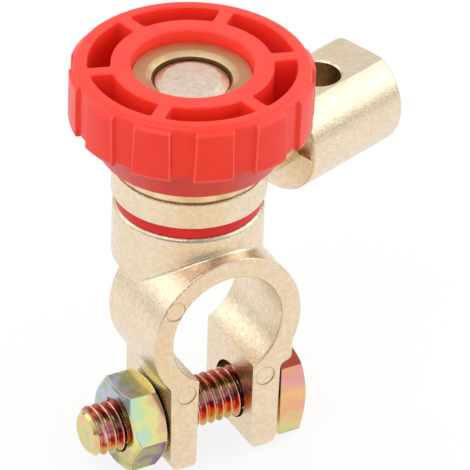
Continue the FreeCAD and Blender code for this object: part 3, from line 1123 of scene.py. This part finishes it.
        def arc(radius: float, low: float, high: float) -> list[np.ndarray]:
            """Points round the axis from one angle to another."""
            return [np.array([radius * math.cos(a), radius * math.sin(a)])
                    for a in np.linspace(low, high, 25)]

        def beside(turn: float, sign: int, radius: float) -> np.ndarray:
            """The point of a spoke's side at a radius; the sign picks the side."""
            along = math.sqrt(radius ** 2 - side ** 2)
            return np.array([along * math.cos(turn) - sign * side * math.sin(turn),
                             along * math.sin(turn) + sign * side * math.cos(turn)])

        def bend(one: np.ndarray, tip: np.ndarray, two: np.ndarray) -> list[np.ndarray]:
            """The points of a rounded corner, without its ends."""
            return [(1 - t) ** 2 * one + 2 * t * (1 - t) * tip + t * t * two
                    for t in np.linspace(0, 1, 9)[1:-1]]

        skew_in, skew_out = math.asin(side / inner), math.asin(side / outer)
        out_arc = arc(outer, first + skew_out + corner / outer, last - skew_out - corner / outer)
        in_arc = arc(inner, last - skew_in - corner / inner, first + skew_in + corner / inner)
        last_side = [beside(last, -1, outer - corner), beside(last, -1, inner + corner)]
        first_side = [beside(first, 1, inner + corner), beside(first, 1, outer - corner)]
        loop = out_arc + bend(out_arc[-1], beside(last, -1, outer), last_side[0]) + last_side
        loop += bend(last_side[-1], beside(last, -1, inner), in_arc[0]) + in_arc
        loop += bend(in_arc[-1], beside(first, 1, inner), first_side[0]) + first_side
        loop += bend(first_side[-1], beside(first, 1, outer), out_arc[0])
        flat = np.array(loop)
        east, north = flat[:, 0] + KNOB_AXIS[0], flat[:, 1] + KNOB_AXIS[1]
        return np.column_stack([east, north, np.full(len(flat), height)])

    def add_pocket(self, build: BMesh, index: int) -> list:
        """Sinks one pocket and returns the vertices of its mouth.

        Args:
            build: the knob's mesh.
            index: which pocket.
        Returns:
            The loop of vertices that lies in the top face.
        """
        size, top = self.mouth_round, self.top
        floor = top - self.pocket_depth
        stops = [(size + self.pocket_lip, top)]
        stops += [(size * (1 - math.sin(t)), top - size * (1 - math.cos(t)))
                  for t in np.linspace(0, math.pi / 2, 6)]
        stops += [(-lean, top - drop) for lean, drop in self.pocket_lean]
        foot, lean = self.pocket_floor_round, self.pocket_lean[-1][0]
        stops += [(-lean - foot * (1 - math.cos(t)), floor + foot * (1 - math.sin(t)))
                  for t in np.linspace(0.2, math.pi / 2, 5)]
        rows = skin(build, [self.pocket_loop(index, grow, z) for grow, z in stops], False)
        floor_edges = [build.edges.get((a, b)) for a, b in zip(rows[-1], rows[-1][1:] + rows[-1][:1])]
        bmesh.ops.triangle_fill(build, use_beauty=True, edges=floor_edges, normal=(0, 0, 1))
        return rows[0]

    def build(self) -> None:
        """Makes the knob as one closed mesh."""
        plastic = MouldedPlastic("moulded_red_nylon").make()
        turns = self.columns()
        build = bmesh.new()
        rows = skin(build, [place(r, turns, z, Axis.KNOB) for r, z in self.outside()], False)
        loops = [rows[0], rows[-1]] + [self.add_pocket(build, i) for i in range(self.spokes)]
        edges = []
        for loop in loops:
            for a, b in zip(loop, loop[1:] + loop[:1]):
                edges.append(build.edges.get((a, b)) or build.edges.new((a, b)))
        bmesh.ops.triangle_fill(build, use_beauty=True, edges=edges, normal=(0, 0, 1))
        knob = add_piece("grip_knob", build)
        self.pad_sheet().run(knob, plastic)
        # painted highlight along the grip pads' edges
        paint(knob, "edge_glint", self.pad_edges)
        dress(knob, plastic, "knob", "knob", KNOB_SHARP_DEG)

    def pad_edges(self, spots: np.ndarray) -> np.ndarray:
        """1 along the upright edges and the foot of the grip pads, where a highlight is painted.

        Args:
            spots: places in millimetres.
        Returns:
            The shares.
        """
        east, north = spots[:, 0] - KNOB_AXIS[0], spots[:, 1] - KNOB_AXIS[1]
        step = 360 / self.pads
        turn = np.degrees(np.arctan2(north, east)) - self.pad_azimuth
        off = abs((turn + step / 2) % step - step / 2)
        share = slope(self.top - spots[:, 2], self.rim_height)
        half = self.pad_half_top + (self.pad_half_foot - self.pad_half_top) * share
        upright = ridge(off - half + self.pad_soft, self.edge_width)
        low = spots[:, 2] - self.top + self.rim_height - self.edge_foot
        foot = ridge(low, self.edge_foot_width) * (off < half)
        raised = slope(np.hypot(east, north) - self.rim_radius - self.edge_rise, self.edge_rise_width)
        return np.maximum(upright, foot) * raised


@dataclass
class Fastener:
    """The clamp bolt with its square head, and the hexagon nut."""

    pitch: float = 1.411
    crest: float = 3.95
    root: float = 3.12
    lead: float = -0.33
    tip_chamfer: float = 1.0
    shank_overlap: float = 0.3
    head_x: float = 9.95
    length: float = 30.0
    head_width: float = 12.2
    head_thickness: float = 4.4
    head_cone_deg: float = 20.0
    nut_inner_x: float = -9.45
    nut_thickness: float = 5.75
    nut_flats: float = 13.0
    nut_cone_deg: float = 30.0
    nut_inset: float = 0.25
    nut_bore: float = 4.0
    nut_turn: float = 2.5
    corner_round: float = 0.22
    edge_gap: float = 0.12
    column_gap: float = 0.45
    face_rows: tuple = ((0.5, 0.0), (0.12, 0.01))
    cone_rows: tuple = (0.06, 0.5, 0.97)
    side_rows: tuple = ((0.02, 0.03), (0.0, 0.09), (0.0, 0.25))
    head_rows: tuple = ((0.0, 0.15), (0.03, 0.04), (0.12, 0.0))
    head_inner: float = 4.5
    head_edge: float = 0.05
    crest_line: float = 0.03
    groove_soft: float = 0.1
    tip_end: float = 0.7
    tip_soft: float = 0.3
    rim_line: tuple = (0.06, 0.05)
    nut_sink: float = 0.35
    nut_sink_depth: float = 0.4
    nut_film: tuple = ((0.1, 0.8), (0.0, 0.62), (0.2, 0.8), (0.1, 0.9), (0.3, 1.0), (0.6, 1.0))
    # nut_shade: painted shade and reflection of each flat, (outer end, inner end)
    nut_shade: tuple = ((0.0, 0.0), (0.95, 0.4), (0.2, 0.4), (0.5, 0.5), (0.7, 0.7), (1.0, 1.0))
    nut_face_film: tuple = (
        (-90.0, 0.5), (-40.0, 0.56), (0.0, 0.6), (35.0, 0.45), (90.0, 0.1), (140.0, 0.02))
    # nut_face_shade: painted shade and reflection round the end faces, (degrees, value)
    nut_face_shade: tuple = (
        (-90.0, 0.8), (-40.0, 0.6), (10.0, 0.25), (40.0, 0.55), (90.0, 0.7), (140.0, 0.6))
    # groove_film sets the thread's colour by its turn about the axis, which paints its reflections
    groove_film: tuple = (
        (-120.0, 0.0), (-75.0, 0.0), (0.0, 0.33), (30.0, 0.5), (75.0, 0.75), (105.0, 1.0), (150.0, 1.0))
    bolt_pale: tuple = (
        (0.0, "C6CE96"), (0.12, "E2D08C"), (0.3, "EDAE94"), (0.45, "EDB488"), (0.6, "F0C284"),
        (0.75, "E9A8A2"), (0.9, "E8A0A0"), (1.0, "E6AC84"))
    # bolt_deep holds those painted reflections, with a pale highlight and a dark line
    bolt_deep: tuple = (
        (0.0, "86803A"), (0.12, "C09A38"), (0.22, "E4963A"), (0.31, "DC5A44"), (0.38, "94364A"),
        (0.5, "DCA4AA"), (0.6, "C4A494"), (0.68, "8A8660"), (0.76, "9A5448"), (1.0, "BC5644"))

    def outline(self, sides: int, flats: float, turn_deg: float) -> tuple[np.ndarray, np.ndarray]:
        """A regular outline with rounded corners, as polar coordinates.

        Args:
            sides: how many sides it has.
            flats: its width across flats.
            turn_deg: where its first corner is.
        Returns:
            The angles and the radii, in order round the outline.
        """
        corner = flats / 2 / math.cos(math.pi / sides)
        turns = [math.radians(turn_deg) + 2 * math.pi * i / sides for i in range(sides)]
        points = rounded([(corner * math.cos(t), corner * math.sin(t)) for t in turns],
                         {i: self.corner_round for i in range(sides)}, 4)
        dense = []
        for one, two in zip(points, points[1:] + points[:1]):
            gap = math.dist(one, two)
            count = max(1, int(gap / self.column_gap))
            shares = {k / count for k in range(count)}
            if count > 1:
                shares |= {self.edge_gap / gap, 1 - self.edge_gap / gap}
            dense += [(one[0] + (two[0] - one[0]) * t, one[1] + (two[1] - one[1]) * t)
                      for t in sorted(shares)]
        flat = np.array(dense)
        return np.arctan2(flat[:, 1], flat[:, 0]), np.hypot(flat[:, 0], flat[:, 1])

    def domed_end(self, radii: np.ndarray, start: float, cone_deg: float, face: float,
                  inward: float) -> list:
        """Rows from a chamfered end face out to the sides.

        Args:
            radii: the outline's radii.
            start: the radius at which the chamfer starts.
            cone_deg: how steep the chamfer is.
            face: the end face's place along X.
            inward: +1 or -1, the way from the face into the piece.
        Returns:
            (radius, x) rows from the face to the side.
        """
        drop = (radii - start) * math.tan(math.radians(cone_deg))
        rows = [(np.full_like(radii, start - back), np.full_like(radii, face + inward * down))
                for back, down in self.face_rows]
        rows += [(start + (radii - start) * share, face + inward * drop * share)
                 for share in self.cone_rows]
        return rows + [(radii - back, face + inward * (drop + down)) for back, down in self.side_rows]

    def build(self) -> None:
        """Makes the bolt and the nut."""
        self.build_bolt()
        self.build_nut()

    def build_bolt(self) -> None:
        """The threaded shank with the square head."""
        finish = PassivatedZinc("yellow_passivated_zinc_bolt", pale=self.bolt_pale,
                                deep=self.bolt_deep, edge="EEE0B8", waves=0.3).make()
        shank = Thread("clamp_bolt_thread", Axis.BOLT, self.pitch, self.crest, self.root,
                       self.head_x - self.length, self.length + self.shank_overlap,
                       self.tip_chamfer, self.lead)
        build = to_bmesh(shank.make(finish))
        turns, radii = self.outline(4, self.head_width, 45.0)
        end = self.head_x + self.head_thickness
        rows = self.domed_end(radii, self.head_width / 2, self.head_cone_deg, end, -1)
        rows += [(radii - back, self.head_x + up) for back, up in self.head_rows]
        rows = [(0.0, end)] + rows + [(self.head_inner, self.head_x), (0.0, self.head_x)]
        skin(build, turned_loops(rows, turns, Axis.BOLT), False)
        bolt = add_piece("square_head_bolt", build)
        # film, dark and rub paint reflections and shade down the thread, and highlights on its crests
        paint(bolt, "film", self.bolt_film)
        paint(bolt, "dark", self.bolt_shade)
        paint(bolt, "edge_glint", self.bolt_crests)
        dress(bolt, finish, "bolt", "clamp_bolt", FASTENER_SHARP_DEG)

    def bolt_crests(self, spots: np.ndarray) -> np.ndarray:
        """1 on the crests of the thread, where a highlight is painted, 0 elsewhere."""
        return self.on_shank(spots) * (self.polar(spots)[0] > self.crest - self.crest_line)

    @staticmethod
    def polar(spots: np.ndarray) -> tuple[np.ndarray, np.ndarray]:
        """Distance from the bolt's axis, and the turn about it in degrees from the front up.

        Args:
            spots: places in millimetres.
        Returns:
            The radii and the turns.
        """
        front, up = BOLT_AXIS[0] - spots[:, 1], spots[:, 2] - BOLT_AXIS[1]
        return np.hypot(front, up), np.degrees(np.arctan2(up, front))

    @staticmethod
    def by_turn(turn: np.ndarray, table: tuple) -> np.ndarray:
        """Reads a table of (degrees, value) round the axis."""
        degrees, values = zip(*table)
        return np.interp(turn, degrees, values, period=360)

    def on_shank(self, spots: np.ndarray) -> np.ndarray:
        """1 on the thread, 0 on the head and on the tip's end."""
        along = spots[:, 0]
        past_tip = along - self.head_x + self.length - self.tip_end
        return (along < self.head_x - self.head_edge) * slope(past_tip, self.tip_soft)

    def bolt_film(self, spots: np.ndarray) -> np.ndarray:
        """The film's place: by turn on the thread, as painted reflection, by height on the head, pale
        green on the tip.
        """
        _, turn = self.polar(spots)
        shank = self.by_turn(turn, self.groove_film)
        head = np.clip((spots[:, 2] - BOLT_AXIS[1]) / self.head_width + 0.5, 0, 1)
        film = np.where(spots[:, 0] < self.head_x - self.head_edge, shank, head)
        return np.where(spots[:, 0] < self.head_x - self.length + self.tip_end, 0.1, film)

    def bolt_shade(self, spots: np.ndarray) -> np.ndarray:
        """1 down in the thread and on the head's top, as painted shade; 0 on the crests, the head's
        front and the tip.
        """
        radius, _ = self.polar(spots)
        groove = slope(self.crest - self.crest_line - radius, self.groove_soft) * self.on_shank(spots)
        on_top = spots[:, 2] - BOLT_AXIS[1] > self.head_width / 2 - 0.06
        return np.maximum(groove, on_top * (spots[:, 0] > self.head_x - self.head_edge))

    def build_nut(self) -> None:
        """The hexagon nut against the left ear."""
        finish = PassivatedZinc("yellow_passivated_zinc_nut").make()
        turns, radii = self.outline(6, self.nut_flats, self.nut_turn)
        outer = self.nut_inner_x - self.nut_thickness
        start = self.nut_flats / 2 - self.nut_inset
        one = self.domed_end(radii, start, self.nut_cone_deg, outer, 1)
        two = self.domed_end(radii, start, self.nut_cone_deg, self.nut_inner_x, -1)
        sink, deep = self.nut_bore + self.nut_sink, self.nut_sink_depth
        bore = [(sink, self.nut_inner_x), (self.nut_bore, self.nut_inner_x - deep),
                (self.nut_bore, outer + deep), (sink, outer)]
        build = bmesh.new()
        skin(build, turned_loops(one + two[::-1] + bore, turns, Axis.BOLT), True)
        nut = add_piece("hexagon_nut", build)
        order = np.argsort(turns)
        paint(nut, "film", lambda spots: self.nut_value(spots, self.nut_film, self.nut_face_film))
        # painted shade and reflection, flat by flat and round the end faces
        paint(nut, "dark", lambda spots: self.nut_value(spots, self.nut_shade, self.nut_face_shade))
        # painted highlight on the nut's corners and chamfer rims
        paint(nut, "edge_glint", lambda spots: self.nut_edges(spots, turns[order], radii[order]))
        dress(nut, finish, "nut", "clamp_nut", FASTENER_SHARP_DEG)

    def nut_value(self, spots: np.ndarray, sides: tuple, face: tuple) -> np.ndarray:
        """A value that runs along each flat, and round the axis on the ends.

        Args:
            spots: places in millimetres.
            sides: (outer end, inner end) values of each flat.
            face: (degrees, value) table of the end faces.
        Returns:
            The values.
        """
        radius, turn = self.polar(spots)
        flat = ((turn - self.nut_turn) % 360 // 60).astype(int) % 6
        inward = (spots[:, 0] - self.nut_inner_x + self.nut_thickness) / self.nut_thickness
        ends = np.array(sides)[flat]
        along = ends[:, 0] + (ends[:, 1] - ends[:, 0]) * np.clip(inward, 0, 1)
        apothem = radius * np.cos(np.radians((turn - self.nut_turn) % 60 - 30))
        on_flat = slope(apothem - self.nut_flats / 2 + 0.04, 0.03)
        return on_flat * along + (1 - on_flat) * self.by_turn(turn, face)

    def nut_edges(self, spots: np.ndarray, turns: np.ndarray, radii: np.ndarray) -> np.ndarray:
        """1 on the nut's edges, where a highlight is painted: its six corners, and where the chamfers
        meet the flats.

        Args:
            spots: places in millimetres.
            turns: the outline's angles, in order.
            radii: the outline's radii.
        Returns:
            The shares.
        """
        radius, turn = self.polar(spots)
        side = np.interp(np.radians(turn), turns, radii, period=2 * math.pi)
        drop = (side - self.nut_flats / 2 + self.nut_inset) * math.tan(math.radians(self.nut_cone_deg))
        outer = self.nut_inner_x - self.nut_thickness
        to_end = np.minimum(spots[:, 0] - outer, self.nut_inner_x - spots[:, 0]) - drop
        middle, width = self.rim_line
        rim = (abs(to_end - middle) < width) * (radius > side - 0.03)
        corner = (side > radii.max() - 0.02) * (radius > side - 0.01)
        return np.maximum(rim, corner).astype(float)


def dress(piece: Object, material: Material, body: str, node: str,
          sharp_deg: float = SHARP_DEG) -> None:
    """Shades a piece, gives it its material and its body, and hides the CAD node it stands for.

    Args:
        piece: the finished piece.
        material: what it is made of.
        body: the CAD body it rides on.
        node: the CAD node it replaces.
        sharp_deg: corners sharper than this stay crisp.
    """
    settle_normals(piece, sharp_deg)
    piece.data.materials.clear()
    piece.data.materials.append(material)
    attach(piece, body)
    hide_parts(node)
    log.info("%s: %d faces on %s", piece.name, len(piece.data.polygons), body)


# Studio

@dataclass(frozen=True)
class Lamp:
    """A soft square lamp that points at the part."""

    name: str
    place: tuple[float, float, float]
    size: float
    watts: float

    def build(self, target: Vector) -> None:
        """Adds the lamp, turned to the target."""
        data = bpy.data.lights.new(self.name, "AREA")
        data.energy = self.watts
        data.size = self.size
        add_object(self.name, data).matrix_world = aimed(Vector(self.place), target)


def aimed(place_at: Vector, target: Vector) -> Matrix:
    """A matrix at a place that looks at a target."""
    turn = (target - place_at).to_track_quat("-Z", "Y").to_matrix().to_4x4()
    turn.translation = place_at
    return turn


@dataclass
class Studio:
    """Floor, pale surroundings, lamps and the camera."""

    floor: float = -24.45
    floor_radius: float = 900.0
    glow: float = 0.8
    paper: str = "F2F2F2"
    bounce: str = "5C5C5C"
    card: tuple = (-25.0, -75.0, -24.45)
    card_reach: float = 85.0
    card_colour: str = "F6E6C8"
    gloss_levels: tuple = ((0.0, 0.3), (0.09, 0.28), (0.2, 0.9), (0.6, 0.85), (1.0, 0.8))
    diffuse_levels: tuple = ((0.0, 2.2), (0.4, 1.25), (1.0, 0.6))
    dim_azimuth: float = -120.0
    dim_level: float = 0.4
    dim_rise: float = 0.25
    dim_band: tuple = (0.55, 0.95)
    target: tuple = (0.005, 0.008, 0.01)
    lamps: tuple = (
        Lamp("key_lamp", (-0.45, -0.2, 0.85), 0.6, 1.6),
        Lamp("right_lamp", (0.72, -0.22, 0.43), 0.7, 1.5),
        Lamp("left_lamp", (-0.62, 0.55, 0.36), 0.55, 0.8),
    )
    yaw: float = 29.87
    pitch: float = -34.20
    roll: float = 2.05
    eye: tuple = (-0.37902, -0.66784, 0.53501)
    lens: float = 479.15

    def build(self) -> None:
        """Makes everything round the part."""
        self.build_floor()
        self.build_world()
        for lamp in self.lamps:
            lamp.build(Vector(self.target))
        self.build_camera()

    def build_floor(self) -> None:
        """A plain pale disc that keeps the part's shadow."""
        build = bmesh.new()
        bmesh.ops.create_circle(build, cap_ends=True, segments=96, radius=self.floor_radius * MM)
        bmesh.ops.translate(build, verts=build.verts, vec=(0, 0, self.floor * MM))
        floor = add_object("floor", build)
        material = bpy.data.materials.new("pale_paper")
        tree = cleared_tree(material)
        path = add_node(tree, "ShaderNodeLightPath")
        shade = mix_colours(tree, path.outputs["Is Diffuse Ray"],
                            linear(self.paper), linear(self.bounce))
        paper = add_node(tree, "ShaderNodeBsdfDiffuse", {"Color": shade})
        glow = add_node(tree, "ShaderNodeEmission", {
            "Color": self.front_card(tree, path), "Strength": 1.0})
        seen = add_math(tree, "MULTIPLY", self.background_ray(tree, path), self.glow)
        both = add_node(tree, "ShaderNodeMixShader", {0: seen, 1: paper.outputs[0], 2: glow.outputs[0]})
        add_node(tree, "ShaderNodeOutputMaterial", {"Surface": both.outputs[0]})
        floor.data.materials.append(material)

    @staticmethod
    def background_ray(tree: NodeTree, path: Node) -> NodeSocket:
        """1 for the rays that show the background: from the camera, off metal, through clear things."""
        gloss = add_math(tree, "MAXIMUM", path.outputs["Is Glossy Ray"],
                         path.outputs["Is Transmission Ray"])
        return add_math(tree, "MAXIMUM", path.outputs["Is Camera Ray"], gloss)

    def front_card(self, tree: NodeTree, path: Node) -> NodeSocket:
        """The floor's colour: white, and to the metal warm in front of the part, as over a gold card.

        Args:
            tree: the floor's tree.
            path: its Light Path node.
        Returns:
            The colour.
        """
        coords = add_node(tree, "ShaderNodeTexCoord")
        away = add_vector(tree, "DISTANCE", coords.outputs["Object"], tuple(v * MM for v in self.card))
        near = map_range(tree, away.outputs["Value"], self.card_reach * MM, 0.3 * self.card_reach * MM,
                         kind="SMOOTHSTEP")
        share = add_math(tree, "MULTIPLY", near, path.outputs["Is Glossy Ray"])
        return mix_colours(tree, share, (1, 1, 1, 1), linear(self.card_colour))

    def build_world(self) -> None:
        """White to the camera; metal sees it with a dark horizon and a dim side behind the camera."""
        world = bpy.data.worlds.new("studio")
        bpy.context.scene.world = world
        tree = cleared_tree(world)
        coords = add_node(tree, "ShaderNodeTexCoord")
        height = add_node(tree, "ShaderNodeSeparateXYZ", {0: coords.outputs["Generated"]}).outputs[2]
        shown, lit = (colour_ramp(tree, height, [(at, (level, level, level, 1)) for at, level in stops])
                      for stops in (self.gloss_levels, self.diffuse_levels))
        turn = math.radians(self.dim_azimuth)
        facing = add_vector(tree, "DOT_PRODUCT", coords.outputs["Generated"],
                            (math.cos(turn), math.sin(turn), self.dim_rise))
        dim = map_range(tree, facing.outputs["Value"], *self.dim_band, 1.0, self.dim_level,
                        kind="SMOOTHSTEP")
        shown = mix_colours(tree, 1.0, shown, dim, "MULTIPLY")
        path = add_node(tree, "ShaderNodeLightPath")
        tent = mix_colours(tree, self.background_ray(tree, path), lit, shown)
        white = mix_colours(tree, path.outputs["Is Camera Ray"], tent, (1, 1, 1, 1))
        sky = add_node(tree, "ShaderNodeBackground", {"Color": white, "Strength": 1.0})
        add_node(tree, "ShaderNodeOutputWorld", {"Surface": sky.outputs[0]})

    def build_camera(self) -> None:
        """The camera, at the photograph's viewing angle."""
        yaw, pitch, roll = map(math.radians, (self.yaw, self.pitch, self.roll))
        level_reach = math.cos(pitch)
        ahead = Vector((math.sin(yaw) * level_reach, math.cos(yaw) * level_reach, math.sin(pitch)))
        level = ahead.cross(Vector((0, 0, 1))).normalized()
        above = level.cross(ahead)
        right = level * math.cos(roll) + above * math.sin(roll)
        up = above * math.cos(roll) - level * math.sin(roll)
        data = bpy.data.cameras.new("camera")
        data.sensor_width = 36
        data.lens = self.lens
        data.clip_start = 0.05
        data.clip_end = 50
        camera = add_object("camera", data)
        turn = Matrix((right, up, -ahead)).transposed().to_4x4()
        turn.translation = Vector(self.eye)
        camera.matrix_world = turn
        bpy.context.scene.camera = camera


def main() -> None:
    """Builds the part's looks and the studio round it."""
    logging.basicConfig(level=logging.INFO, format="%(name)s: %(message)s")
    for assembly in (Castings(), Insulators(), Contacts(), Knob(), Fastener(), Studio()):
        assembly.build()
    bpy.context.scene.view_settings.view_transform = "Standard"


if __name__ == "__main__":
    main()
